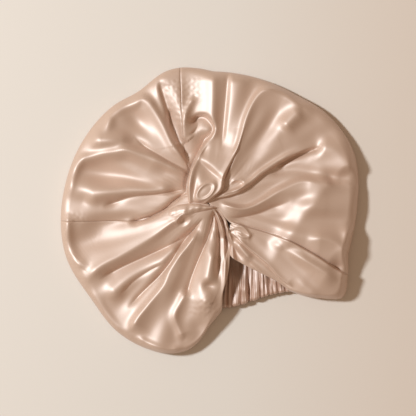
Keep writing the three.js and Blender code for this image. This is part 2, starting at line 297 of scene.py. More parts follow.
@dataclass(frozen=True)
class Crest:
    """A fold that follows a curve, by distances beside and above the twist."""

    form: Form
    rise: float
    left: float
    right: float
    places: tuple[tuple[float, float], ...]
    fade: float = 0.15

    def line(self) -> Array:
        """Follows the curve.

        Returns:
            Evenly spaced places along it, each as distances beside and above the twist.
        """
        corners = np.array(self.places, float)
        steps = np.linalg.norm(np.diff(corners, axis=0), axis=1)
        along = np.concatenate([[0], np.cumsum(steps)])
        at = np.linspace(0, along[-1], CREST_PLACES)
        ways = [through(table_of(*zip(along, corners[:, way])), at) for way in (0, 1)]
        return np.stack(ways, axis=1)

    def height(self, x: Array, y: Array) -> Array:
        """Gives what the fold adds to the height of the cloth.

        Args:
            x: distance beside the twist, in millimetres.
            y: distance above it.

        Returns:
            The height to add, in millimetres.
        """
        line = self.line()
        room = CREST_ROOM * max(self.left, self.right)
        low, high = line.min(axis=0) - room, line.max(axis=0) + room
        near = (x > low[0]) & (x < high[0]) & (y > low[1]) & (y < high[1])
        total = np.zeros_like(x)
        if not near.any():
            return total
        across_x = x[near][:, None] - line[:, 0]
        across_y = y[near][:, None] - line[:, 1]
        course = np.gradient(line, axis=0)
        half_step = np.linalg.norm(course, axis=1).mean() / 2
        course = course / np.linalg.norm(course, axis=1)[:, None]
        side = course[:, 0] * across_y - course[:, 1] * across_x
        along = np.abs(course[:, 0] * across_x + course[:, 1] * across_y)
        away = np.hypot(side, np.maximum(along - half_step, 0))
        nearest = away.argmin(axis=1)
        least = away[np.arange(len(nearest)), nearest][:, None]
        weight = np.exp((least - away) / (SOFTEST_TURN * least + CLOSEST_TURN))
        weight = weight / weight.sum(axis=1)[:, None]
        aside = (weight * np.copysign(away, side)).sum(axis=1)
        share = (weight * np.linspace(0, 1, len(line))).sum(axis=1)
        past = np.maximum(along[np.arange(len(nearest)), nearest] - half_step, 0)
        fade = smooth(share, 0, self.fade) * smooth(1 - share, 0, self.fade)
        fade = fade * np.exp(-((past / PAST_END) ** 2)) * smooth(room - least[:, 0], 0, room / 2)
        width = growth(np.hypot(x[near], y[near])) * np.where(aside > 0, self.left, self.right)
        shape = section(self.form, aside, width, self.left > self.right, self.rise < 0)
        total[near] = self.rise * fade * shape
        return total


@dataclass(frozen=True)
class Dent:
    """A round or long swelling, or a dent where it goes down, with an optional rim."""

    bearing: float
    reach: float
    along: float
    across: float
    turn: float
    rise: float
    rim: float = 0.0

    def height(self, bearing: Array, reach: Array) -> Array:
        """Gives what the dent adds to the height of the cloth.

        Args:
            bearing: of each place, in degrees.
            reach: from the twist, in millimetres.

        Returns:
            The height to add, in millimetres.
        """
        apart = np.radians(bearing - self.bearing)
        out = reach * np.cos(apart) - self.reach
        side = reach * np.sin(apart)
        angle = math.radians(self.turn)
        u = (out * math.cos(angle) + side * math.sin(angle)) / self.along
        v = (-out * math.sin(angle) + side * math.cos(angle)) / self.across
        far = np.sqrt(u**2 + v**2)
        facing = np.cos(np.arctan2(side, out) + math.radians(self.bearing - RIM_FACES))
        rim = self.rim * (RIM_LEAST + (1 - RIM_LEAST) * facing.clip(0, 1))
        return self.rise * np.exp(-(far**2)) + rim * ring(far, DENT_RIM_AT, DENT_RIM_WIDTH)


ROLL, CREASE, TUCK, LIP = Form.ROLL, Form.CREASE, Form.TUCK, Form.LIP

# form, bearing near the twist, midway and far, start, stop, rise, width each way
FOLDS = (
    Fold(ROLL, 88, 89, 89, 70, 160, 6, 11, 7, 0.15, 0.08),
    Fold(CREASE, 78.5, 81, 82.6, 60, 160, -3, 6, 3, 0.2, 0.1),
    Fold(ROLL, 75, 78.5, 80, 66, 158, 2.6, 4, 18, 0.2, 0.1),
    Fold(ROLL, 141, 147, 149, 60, 158, 4, 12, 9, 0.2, 0.15),
    Fold(ROLL, -68, -54, -47, 28, 150, -7, 4, 12, 0.1, 0.2),
    Fold(ROLL, 272, 268, 266, 36, 126, 6, 9, 12),
    Fold(CREASE, 300, 283, 276, 5, 88, -5, 2.4, 2.8, 0.1),
    Fold(CREASE, 322, 298, 284, 6, 68, -4.5, 2.2, 2.2, 0.1),
    Fold(ROLL, 308, 287, 279, 8, 108, 3, 2.8, 3, 0.1),
    Fold(ROLL, 310, 292, 279, 22, 116, 3.5, 3, 3, 0.1),
)

# form, rise, width to the left and right, places along the fold
CROWN_LEFT_CRESTS = (
    Crest(ROLL, 5, 7, 5, (
        (-25, 42), (-34, 56), (-41, 65), (-52, 88), (-63.5, 108), (-69, 115), (-76, 118), (-86, 113),
        (-99, 108), (-110, 99), (-114, 86), (-121, 75),
    )),
    Crest(ROLL, 6, 8, 6, (
        (-22, 33), (-40, 41), (-56, 48.5), (-73, 56), (-90, 60), (-104, 58), (-118, 56), (-132, 53),
        (-142, 50), (-149, 43), (-154, 32), (-157, 19), (-157, 5),
    )),
    Crest(ROLL, 5, 9, 9, ((-136, 70), (-118, 70), (-98, 74), (-82, 72)), 0.3),
    Crest(ROLL, 6, 9, 12, ((-37, 19), (-75, 15), (-112, 13), (-142, 4))),
    Crest(CREASE, -5, 4, 3.5, ((-26, 17.5), (-56, 12), (-88, 8.8), (-107, 2.4), (-120, -2.4))),
    Crest(CREASE, -8, 3.6, 3.4, (
        (-24, 16), (-40, 4.8), (-51, -4.8), (-64, -12), (-80, -17), (-92, -20),
    )),
    Crest(CREASE, -4, 3, 4, ((-22, 37), (-40, 46), (-56, 55), (-72, 65), (-86, 78)), 0.25),
    Crest(LIP, -7, 4, 16, (
        (-20, 42), (-32, 66), (-41.6, 89), (-46.4, 106.4), (-53.6, 130), (-56, 144),
    )),
    Crest(CREASE, -3, 2.5, 2.5, ((-36, 66), (-42, 80), (-46, 108))),
    Crest(ROLL, 3.6, 4, 5, ((-29, 68), (-29, 90), (-24, 108), (-17, 122))),
    Crest(LIP, -9, 3.2, 11, (
        (-24, 88), (-19, 93), (-13, 97), (-6, 97), (0, 91), (2.5, 84), (0, 78), (-6, 72), (-11, 62),
        (-17, 50), (-22.5, 36), (-25.5, 22), (-26, 8),
    ), 0.1),
)
CROWN_RIGHT_CRESTS = (
    Crest(LIP, 7, 4.5, 14, (
        (15, 22), (22, 39), (29, 56), (35, 75.6), (41, 97), (49, 115), (57.5, 125), (68, 128), (80, 125),
        (92, 116), (102, 105),
    ), 0.14),
    Crest(TUCK, 4.4, 14, 9, (
        (-6, -1), (5, 6), (19, 9), (32, 13.6), (46, 23), (59, 34), (83, 49), (101, 58.4), (118, 65),
    )),
    Crest(ROLL, 2.4, 3.4, 3, (
        (4, 9), (18, 13), (31, 17.5), (45, 27), (58, 38), (82, 53), (100, 62.5),
    ), 0.2),
    Crest(CREASE, -5, 2.6, 3.4, ((72, 41), (92, 51.5), (113, 60.5), (124, 65))),
    Crest(ROLL, -3.8, 8, 8, ((62, 36), (80, 38), (99, 38.4), (139, 31), (158, 27))),
    Crest(LIP, 7, 6, 13, (
        (9, 3), (22, -2), (35, -4.5), (48, -1.5), (62, 6), (80, 17), (104, 26), (128, 22),
    )),
    Crest(CREASE, -5, 5, 8, ((16, -14), (32, -14), (52, -10), (72, -2), (92, 6)), 0.3),
    Crest(LIP, 9, 30, 14, ((134, 32), (121, 10), (109, -6), (98, -20), (89, -34), (82, -50)), 0.12),
    Crest(LIP, 6, 8, 12, ((104, -40), (122, -37), (138, -42), (146, -52), (148, -64)), 0.3),
    Crest(ROLL, 6, 6, 9, ((155, -20), (154, -42), (156, -62), (160, -78)), 0.2),
    Crest(ROLL, 5.5, 12, 14, ((118, 66), (136, 60), (150, 48), (154, 34)), 0.2),
    Crest(ROLL, 5, 10, 12, ((78, 82), (90, 94), (104, 106)), 0.3),
    Crest(TUCK, -4.4, 6, 9, ((20, -17), (45, -25), (80, -36), (114, -54), (134, -67), (158, -82)), 0.08),
    Crest(LIP, 3, 7, 2.6, ((22, 22), (26, 26.5), (33, 27.5), (38, 23), (33, 18), (24, 15)), 0.2),
)
RIGHT_BAND_CRESTS = (
    Crest(TUCK, 3.6, 10, 7, ((21, -29), (43, -48.8), (64, -66.4), (75, -79), (92, -92)), 0.1),
    Crest(LIP, 6, 7, 24, ((62, -40), (90, -54), (116, -69), (142, -85)), 0.2),
    Crest(ROLL, 2.6, 7, 9, ((90, -80), (108, -93), (124, -104)), 0.4),
    Crest(ROLL, 5, 9, 9, ((28, -36), (38, -52), (46, -64)), 0.3),
    Crest(LIP, 3, 3, 6, ((24, -21), (32, -22), (39, -27), (43, -34), (36, -35), (28, -29)), 0.2),
)
LEFT_BAND_CRESTS = (
    Crest(LIP, 7, 8, 17, (
        (-14, -6), (-30, -12), (-46, -22), (-62, -34), (-80, -45), (-100, -56), (-120, -66), (-132, -77),
        (-135, -89),
    )),
    Crest(ROLL, 5, 8, 6, (
        (-157, -6), (-159, -22), (-159, -37), (-155, -52), (-146, -64), (-130, -68),
    ), 0.2),
    Crest(ROLL, -4, 14, 14, ((-70, -14), (-104, -18), (-146, -24)), 0.35),
    Crest(CREASE, -6, 7, 4, ((-12, -19), (-28, -34), (-43, -44), (-69, -56), (-102, -71), (-124, -84))),
    Crest(ROLL, 7, 11, 13, ((-28, -42), (-62, -66), (-92, -86), (-116, -106))),
    Crest(CREASE, -3, 4, 3, ((-50, -64), (-66, -72), (-84, -84), (-100, -100)), 0.2),
    Crest(CREASE, -6.5, 5, 4, ((-6, -13), (-31, -43), (-44, -64), (-58, -80), (-78, -100), (-92, -116))),
    Crest(LIP, 8.5, 15, 6, (
        (-12, -26), (-19, -37), (-33, -56), (-43.5, -72), (-51, -89), (-69, -112), (-80, -126), (-88, -142),
    ), 0.1),
    Crest(CREASE, -6, 4, 6, (
        (3.7, -5), (2.6, -18), (-3, -38), (-8, -50), (-15, -66), (-21, -82), (-27, -104),
    ), 0.1),
    Crest(ROLL, 4.5, 11, 9, ((5, -48), (1, -68), (-4, -90)), 0.25),
    Crest(LIP, 5, 10, 6, ((-24, -92), (-32, -108), (-38, -122), (-34, -136), (-28, -150))),
    Crest(ROLL, 4, 14, 11, ((2, -92), (-6, -114), (-16, -136)), 0.35),
    Crest(ROLL, 4, 5, 5, ((-84, -144), (-66, -155), (-46, -161), (-28, -158)), 0.2),
    Crest(ROLL, 4.5, 6, 5, (
        (-137, -92), (-129, -106), (-117, -122), (-108, -134), (-96, -146),
    ), 0.2),
)

# bearing, reach, half length, half width, turn, rise, rim
DENTS = (
    Dent(-14, 124, 30, 44, 0, 2.5),
    Dent(132.4, 122, 17, 15, 0, -7),
    Dent(164.5, 126, 28, 10, 0, -6),
    Dent(196, 128, 36, 17, 0, -7),
    Dent(210.4, 33.6, 6, 5, 0, -2.6, 2.2),
    Dent(-25.6, 157, 9, 6, 0, -5),
    Dent(-32, 150, 24, 12, 0, 4),
    Dent(-30, 150, 42, 44, 0, 7),
    Dent(269.3, 88.5, 4.5, 6.5, 0, -4.5),
    Dent(215, 20, 26, 22, 0, 5),
)

# The brim stands up over the head opening.
BRIM_LIFT = Dent(295, 82, 34, 46, 0, 6)

CRESTS = CROWN_RIGHT_CRESTS + RIGHT_BAND_CRESTS + CROWN_LEFT_CRESTS + LEFT_BAND_CRESTS


@dataclass(frozen=True)
class Mark:
    """A swelling or dent of the loop, by distances beside and above the twist."""

    x: float
    y: float
    along: float
    above: float
    below: float
    turn: float
    rise: float
    rim: float = 0.0

    def height(self, x: Array, y: Array) -> Array:
        """Gives what the mark adds to the height of the loop.

        Args:
            x: distance beside the twist, in millimetres.
            y: distance above it.

        Returns:
            The height to add, in millimetres.
        """
        angle = math.radians(self.turn)
        u = ((x - self.x) * math.cos(angle) + (y - self.y) * math.sin(angle)) / self.along
        v = (y - self.y) * math.cos(angle) - (x - self.x) * math.sin(angle)
        v = v / np.where(v > 0, self.above, self.below)
        far = np.sqrt(u**2 + v**2)
        return self.rise * np.exp(-(far**2)) + self.rim * ring(far, MARK_RIM_AT, MARK_RIM_WIDTH)


# x, y, half length, half width above and below, turn, rise, rim
LOOP_MARKS = (
    Mark(-2, 38.5, 17, 4, 12, -41, -6.5),
    Mark(-17.5, 18, 16, 4, 4, 82, -3.5),
    Mark(-5, 15, 12, 6.5, 6.5, 42, 1.0, 2.2),
    Mark(-11, 61, 12, 3, 3, 62, 1.6),
    Mark(-6, 60, 10, 2, 3, 58, -2.0),
)


@dataclass(frozen=True)
class Crinkle:
    """A patch where a seam puckers the cloth."""

    bearing: float
    spread: float
    start: float
    stop: float
    rise: float


# bearing, half spread in degrees, start, stop, rise
CRINKLES = (
    Crinkle(107.5, 4.5, 84, 150, 0.2),
    Crinkle(186, 2.5, 130, 164, 0.15),
    Crinkle(98, 4, 110, 150, 0.12),
    Crinkle(268, 8, 96, 130, 0.15),
    Crinkle(200, 14, 28, 56, 0.1),
)


class Ripples:
    """Small waves of the cloth: gathers that fan out from the twist, and seam puckers."""

    def __init__(self, seed: int = 11) -> None:
        """Draws the waves.

        Args:
            seed: of the random draws, so that each run gives the same cloth.
        """
        draw = np.random.default_rng(seed)
        self.fans = [
            (count, draw.uniform(-1.2, 1.2), draw.uniform(0, 2 * math.pi)) for count in FAN_COUNTS
        ]
        self.gathers = [
            (count, draw.uniform(-2, 2), draw.uniform(0, 2 * math.pi)) for count in GATHER_COUNTS
        ]
        self.puckers = [
            (*draw.uniform(-1, 1, 2), draw.uniform(0, 2 * math.pi)) for _ in range(PUCKER_COUNT)
        ]

    def height(self, bearing: Array, reach: Array) -> Array:
        """Gives the height of the small waves.

        Args:
            bearing: of each place, in degrees.
            reach: from the twist, in millimetres.

        Returns:
            The height to add, in millimetres.
        """
        angle = np.radians(bearing)
        total = np.zeros_like(reach)
        for count, twist, phase in self.fans:
            wave = np.sin(count * angle + twist * reach / FAN_TWIST + phase)
            total += wave * FAN_HEIGHT / count * smooth(reach, FAN_START, FAN_FULL)
        near = smooth(reach, GATHER_START, GATHER_FULL)
        near = near * (1 - smooth(reach, GATHER_FADE, GATHER_END))
        for count, twist, phase in self.gathers:
            wave = np.sin(count * angle + twist * reach / GATHER_TWIST + phase)
            total += GATHER_HEIGHT * near * wave
        x, y = reach * np.cos(angle), reach * np.sin(angle)
        pucker = np.zeros_like(reach)
        for u, v, phase in self.puckers:
            pucker += np.sin((u * x + v * y) * PUCKER_TURN + phase) / PUCKER_SPREAD
        for patch in CRINKLES:
            apart = turn_between(bearing, patch.bearing) / patch.spread
            within = smooth(reach, patch.start, patch.start + PUCKER_FADE)
            within = within * (1 - smooth(reach, patch.stop - PUCKER_FADE, patch.stop))
            total += patch.rise * pucker * within * np.exp(-(apart**2))
        return total


class Relief:
    """The height of the cloth over the surface that the bonnet lies on."""

    def __init__(self) -> None:
        """Draws the small waves and finds the twist from the frame's box."""
        self.ripples = Ripples()
        around = np.linspace(OUTLINE[0].at, OUTLINE[-1].at, OUTLINE_STEPS)
        full = through(OUTLINE, around)
        left = (full * np.cos(np.radians(around))).min() * MM
        top = (full * np.sin(np.radians(around))).max() * MM
        low, high = CAD_BOX
        self.twist = np.array([low[0] - left, high[1] - top, 0.0])

    @staticmethod
    def bearing_of(x: Array, y: Array) -> Array:
        """Gives the bearing of places beside the twist, from -47 up to 313 degrees."""
        raw = np.degrees(np.arctan2(y, x))
        return np.where(raw < OUTLINE[0].at, raw + 360.0, raw)

    def dome(self, reach: Array, full: Array) -> Array:
        """Gives the height of the cloth without its folds.

        Args:
            reach: of each place from the twist, in millimetres.
            full: how far the outline reaches on that bearing.

        Returns:
            The height of each place, in millimetres.
        """
        share = reach / full
        crest = (CREST_HEIGHT - SHOULDER_HEIGHT) * (1 - smooth(share, 0, CREST_SHARE))
        return SHOULDER_HEIGHT - SHOULDER_FALL * share**3 + crest

    def height(self, bearing: Array, reach: Array, full: Array) -> Array:
        """Gives the height of the cloth with its folds and waves.

        Args:
            bearing: of each place, in degrees.
            reach: from the twist, in millimetres.
            full: how far the outline reaches on that bearing.

        Returns:
            The height of each place, in millimetres.
        """
        angle = np.radians(bearing)
        x, y = reach * np.cos(angle), reach * np.sin(angle)
        folds = sum(fold.height(bearing, reach) for fold in FOLDS)
        folds = folds + sum(crest.height(x, y) for crest in CRESTS)
        dents = sum(dent.height(bearing, reach) for dent in DENTS)
        relief = folds + dents + self.ripples.height(bearing, reach)
        flat = smooth(full - reach, FOLDS_END, FOLDS_FULL)
        lift = BRIM_LIFT.height(bearing, reach)
        top = self.dome(reach, full) + relief * flat + lift
        edge = rounded(full - reach, through(EDGE_FALL, bearing))
        return EDGE_HEIGHT + (top - EDGE_HEIGHT) * edge

    def at(self, x: Array, y: Array) -> Array:
        """Gives the height of the cloth at places beside the twist, in millimetres."""
        bearing = self.bearing_of(x, y)
        return self.height(bearing, np.hypot(x, y), through(OUTLINE, bearing))

    def place(self, x: Array, y: Array, z: Array) -> Array:
        """Turns millimetres from the twist into places in the frame, in metres."""
        return np.stack([x, y, z], axis=-1) * MM + self.twist


# ---------------- meshes
def cloth_object(name: str, grid: Array, flip: bool) -> bpy.types.Object:
    """Makes a closed, thin piece of cloth from a grid of places.

    Args:
        name: of the piece.
        grid: places in metres, by row and column, on the outer face.
        flip: whether the faces have to be turned round to look out.

    Returns:
        The new object, smooth shaded, with a map in metres across the cloth.
    """
    row_count, column_count = grid.shape[:2]
    index = np.arange(row_count * column_count).reshape(row_count, column_count)
    around = (index[:-1, :-1], index[1:, :-1], index[1:, 1:], index[:-1, 1:])
    quads = np.stack(around, axis=-1).reshape(-1, 4)
    if flip:
        quads = quads[:, ::-1]
    mesh = bpy.data.meshes.new(name)
    mesh.from_pydata(grid.reshape(-1, 3).tolist(), [], quads.tolist())
    along = np.linalg.norm(np.diff(grid, axis=0, prepend=grid[:1]), axis=2).cumsum(axis=0)
    across = np.linalg.norm(np.diff(grid, axis=1, prepend=grid[:, :1]), axis=2).cumsum(axis=1)
    flat = np.stack([across, along], axis=-1).reshape(-1, 2)
    corners = np.empty(len(mesh.loops), dtype=np.int32)
    mesh.loops.foreach_get("vertex_index", corners)
    layer = mesh.uv_layers.new(name="cloth")
    layer.data.foreach_set("uv", flat[corners].ravel())
    mesh.shade_smooth()
    piece = bpy.data.objects.new(name, mesh)
    bpy.context.scene.collection.objects.link(piece)
    wall = piece.modifiers.new("thickness", "SOLIDIFY")
    wall.thickness = CLOTH * MM
    wall.offset = -1
    return piece


WAVE_SCALE = 0.314  # of a wave texture, for one wave to a unit
NOISE_MIDDLE = 0.5


@dataclass(frozen=True)
class Finish:
    """A satin finish, as its colour, gloss and weave."""

    name: str
    slot: str
    face: tuple[float, float, float]
    shade: tuple[float, float, float]
    roughness: float = 0.54
    specular: float = 1.0
    refraction: float = 1.9
    metal: float = 0.18
    coat: float = 0.08
    coat_roughness: float = 0.34
    sheen: float = 0.1
    sheen_roughness: float = 0.4
    thread: float = 0.00028  # from one thread to the next, in metres
    bump: float = 0.12
    depth: float = 0.2  # of the weave, in threads
    wander: float = 0.6  # of the threads
    blotches: float = 22.0  # to a metre
    blotch_detail: float = 3.0
    blotch_shade: float = 0.5  # the most that a blotch takes on of the shade
    blotch_gloss: float = 0.06

    @cache
    def material(self) -> bpy.types.Material:
        """Makes the material, once.

        Returns:
            A node material with a woven, slightly uneven satin surface.
        """
        nodes = Nodes(self.name)
        place = nodes.add("ShaderNodeTexCoord")["Object"]
        cloth = nodes.add("ShaderNodeUVMap", uv_map="cloth")["UV"]
        blotches = nodes.add(
            "ShaderNodeTexNoise", Vector=place, Scale=self.blotches, Detail=self.blotch_detail
        )["Fac"]
        weave = nodes.add(
            "ShaderNodeTexWave", Vector=cloth, Scale=WAVE_SCALE / self.thread,
            Distortion=self.wander, Detail=1.0,
        )["Fac"]
        tone = nodes.mix(blotches * self.blotch_shade, self.face, self.shade)
        gloss = self.roughness + self.blotch_gloss * (blotches - NOISE_MIDDLE)
        bump = nodes.add(
            "ShaderNodeBump", Height=weave, Strength=self.bump, Distance=self.thread * self.depth
        )["Normal"]
        shader = nodes.shader
        shader.inputs["Specular IOR Level"].default_value = self.specular
        shader.inputs["IOR"].default_value = self.refraction
        shader.inputs["Metallic"].default_value = self.metal
        shader.inputs["Coat Weight"].default_value = self.coat
        shader.inputs["Coat Roughness"].default_value = self.coat_roughness
        shader.inputs["Sheen Weight"].default_value = self.sheen
        shader.inputs["Sheen Roughness"].default_value = self.sheen_roughness
        nodes.feed("Base Color", tone)
        nodes.feed("Roughness", gloss)
        nodes.feed("Normal", bump)
        return nodes.material


class Value:
    """A shader socket that can be used in sums."""

    def __init__(self, nodes: "Nodes", socket: bpy.types.NodeSocket) -> None:
        """Wraps a socket of a material's node tree."""
        self.nodes = nodes
        self.socket = socket

    def __add__(self, other: object) -> "Value":
        """Adds."""
        return self.nodes.maths("ADD", self, other)

    __radd__ = __add__

    def __sub__(self, other: object) -> "Value":
        """Subtracts."""
        return self.nodes.maths("SUBTRACT", self, other)

    def __rsub__(self, other: object) -> "Value":
        """Subtracts this from a number."""
        return self.nodes.maths("SUBTRACT", other, self)

    def __mul__(self, other: object) -> "Value":
        """Multiplies."""
        return self.nodes.maths("MULTIPLY", self, other)

    __rmul__ = __mul__


MIX_COLOUR_INPUTS = (0, 6, 7)  # the share and the two colours of a Mix node
MIX_COLOUR_OUTPUT = 2


class Nodes:
    """The node tree of one material."""

    def __init__(self, name: str) -> None:
        """Makes a material with an empty tree but for its shader.

        Args:
            name: of the material.
        """
        self.material = bpy.data.materials.new(name)
        self.material.use_nodes = True
        self.tree = self.material.node_tree
        self.shader = self.tree.nodes["Principled BSDF"]

    def add(self, kind: str, **settings: object) -> dict[str, Value]:
        """Adds a node.

        Args:
            kind: the node's type.
            settings: its properties, and the values or links of its sockets.

        Returns:
            Its outputs by name.
        """
        node = self.tree.nodes.new(kind)
        sockets = [name for name in settings if name in node.inputs]
        for name in settings:
            if name not in sockets:
                setattr(node, name, settings[name])
        for name in sockets:
            self.plug(node.inputs[name], settings[name])
        return {socket.name: Value(self, socket) for socket in node.outputs if socket.enabled}

    def plug(self, socket: bpy.types.NodeSocket, value: object) -> None:
        """Links a socket to a value, or sets it to a number or colour.

        Args:
            socket: of a node in this tree.
            value: a value or socket to link, or what to set.
        """
        value = value.socket if isinstance(value, Value) else value
        if isinstance(value, bpy.types.NodeSocket):
            self.tree.links.new(value, socket)
        else:
            socket.default_value = value

    def maths(self, operation: str, first: object, second: object) -> Value:
        """Adds a Math node.

        Args:
            operation: what it does.
            first: its first value or number.
            second: its second value or number.

        Returns:
            Its result.
        """
        node = self.tree.nodes.new("ShaderNodeMath")
        node.operation = operation
        self.plug(node.inputs[0], first)
        self.plug(node.inputs[1], second)
        return Value(self, node.outputs[0])

    def mix(self, share: object, first: Sequence[float], second: Sequence[float]) -> Value:
        """Mixes two colours.

        Args:
            share: of the second colour.
            first: the first colour.
            second: the second colour.

        Returns:
            The mixed colour.
        """
        node = self.tree.nodes.new("ShaderNodeMix")
        node.data_type = "RGBA"
        factor, from_colour, to_colour = (node.inputs[slot] for slot in MIX_COLOUR_INPUTS)
        self.plug(factor, share)
        self.plug(from_colour, (*first, 1.0))
        self.plug(to_colour, (*second, 1.0))
        return Value(self, node.outputs[MIX_COLOUR_OUTPUT])

    def feed(self, socket: str, value: Value) -> None:
        """Links a value to the shader."""
        self.tree.links.new(value.socket, self.shader.inputs[socket])


SATIN = Finish("satin", "satin", (0.60, 0.395, 0.28), (0.55, 0.355, 0.25))
# The nape's satin is a darker copy of the same satin: painted shade, for the shade the nape lies in.
RUCHE_PAINTED_SHADE = Finish("satin_ruche", "satin_ruche", (0.53, 0.31, 0.21), (0.47, 0.27, 0.18))
BACKING = Finish("satin_back", "satin_back", (0.58, 0.37, 0.25), (0.53, 0.33, 0.22), roughness=0.36)


# ---------------- pieces
@dataclass
class Piece:
    """What every piece of the bonnet shares."""

    relief: Relief
    finish: Finish
    name: str
    node: str
    flat: tuple[float, float]  # width and length of the cloth it is cut from, in metres
    area: float  # of the cut, in square metres
    held: str = "gathered"
    turned: bool = False  # whether the faces have to be turned round to look out

    def grid(self) -> Array:
        """Works out the piece's outer face; each kind of piece has its own."""
        raise NotImplementedError

    def build(self) -> bpy.types.Object:
        """Makes the piece, dresses it, hangs it on the body and hides the frame's part that it stands for.

        Returns:
            The dressed piece.
        """
        piece = cloth_object(self.name, self.grid(), self.turned)
        piece.data.materials.append(self.finish.material())
        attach(piece, BODY)
        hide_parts(self.node)
        faces = len(piece.data.polygons)
        LOG.info("%s: %d faces, cut from %.4f square metres", piece.name, faces, self.area)
        return piece


@dataclass
class Panel(Piece):
    """A panel of the crown or the front band: a fan of cloth between two edges."""

    start_edge: Sequence[Row] = ()
    stop_edge: Sequence[Row] = ()
    first_reach: float = START_REACH
    columns: int = 120
    dome_rows: int = 140
    edge_rows: int = 8
    turned: bool = True
    crowding: float = 0.115  # of the rows towards the outer edge
    seam_depth: float = 0.5
    seam_width: float = 0.9

    def grid(self) -> Array:
        """Works out the panel's outer face.

        Returns:
            Places in metres, by column round the twist and row outwards.
        """
        share = np.linspace(0, 1, self.columns + 1)[:, None]
        ends = self.start_edge[-1], self.stop_edge[-1]
        end_bearing = ends[0].value + (ends[1].value - ends[0].value) * share
        full = through(OUTLINE, end_bearing)
        out = np.linspace(0, 1, self.dome_rows + 1)[None, :]
        out = out + self.crowding * np.sin(math.pi * out) ** 2 * out
        reach = self.first_reach + (full - self.first_reach) * out
        bearing = self.bearing(reach, full, share)
        height = self.relief.height(bearing, reach, full) - self.seams(bearing, reach, share)
        angle = np.linspace(0, -math.pi / 2, self.edge_rows + 1)[None, 1:]
        edge_reach = full - EDGE_UNDER * (1 - np.cos(angle))
        edge_height = height[:, -1:] * (1 + np.sin(angle))
        under_reach = edge_reach[:, -1:] - np.linspace(0, UNDER_LIP, UNDER_ROWS + 1)[None, 1:]
        under_height = np.zeros_like(under_reach)
        reach = np.concatenate([reach, edge_reach, under_reach], axis=1)
        height = np.concatenate([height, edge_height, under_height], axis=1)
        outer = np.repeat(bearing[:, -1:], reach.shape[1] - bearing.shape[1], axis=1)
        angle = np.radians(np.concatenate([bearing, outer], axis=1))
        return self.relief.place(reach * np.cos(angle), reach * np.sin(angle), height)

    def bearing(self, reach: Array, full: Array, share: Array) -> Array:
        """Gives the bearing of places that lie a share of the way between the two edges.

        Args:
            reach: of each place.
            full: the outline's reach on each column.
            share: of the way from the first edge to the second, by column.

        Returns:
            The bearing of each place.
        """
        out = (reach - START_REACH) / (full - START_REACH)
        first, second = (
            through(edge, START_REACH + (edge[-1].at - START_REACH) * out)
            for edge in (self.start_edge, self.stop_edge)
        )
        return first + (second - first) * share

    def seams(self, bearing: Array, reach: Array, share: Array) -> Array:
        """Gives the depth of the grooves along the panel's two edges.

        Args:
            bearing: of each place.
            reach: of each place.
            share: of the way from the first edge to the second, by column.

        Returns:
            How far the cloth dips, in millimetres.
        """
        width = np.abs(np.radians(bearing[-1:] - bearing[:1])) * reach
        from_edge = np.minimum(share, 1 - share) * width
        return self.seam_depth * np.exp(-((from_edge / self.seam_width) ** 2))


@dataclass(frozen=True)
class Edge:
    """One long edge of the loop, in millimetres."""

    round: float  # how far in from the edge the cloth rounds over
    bead: float  # the height of the bead of cloth along it
    bead_at: float  # how far in from the edge the bead is highest
    skirt: float  # how far the edge dips
    skirt_fades: float  # where up the loop the dip begins to fade, and where it has gone
    skirt_ends: float
    bead_width: float = 3.5

    def beaded(self, inwards: Array) -> Array:
        """Gives the height of the bead at places in from the edge."""
        return self.bead * ring(inwards, self.bead_at, self.bead_width)

    def dip(self, inwards: Array, y: Array) -> Array:
        """Gives how far the edge dips.

        Args:
            inwards: of each place, from the edge.
            y: of each place, up the loop.

        Returns:
            The dip at each place, in millimetres.
        """
        fade = 1 - smooth(y, self.skirt_fades, self.skirt_ends)
        return self.skirt * (1 - rounded(inwards, self.round)) * fade


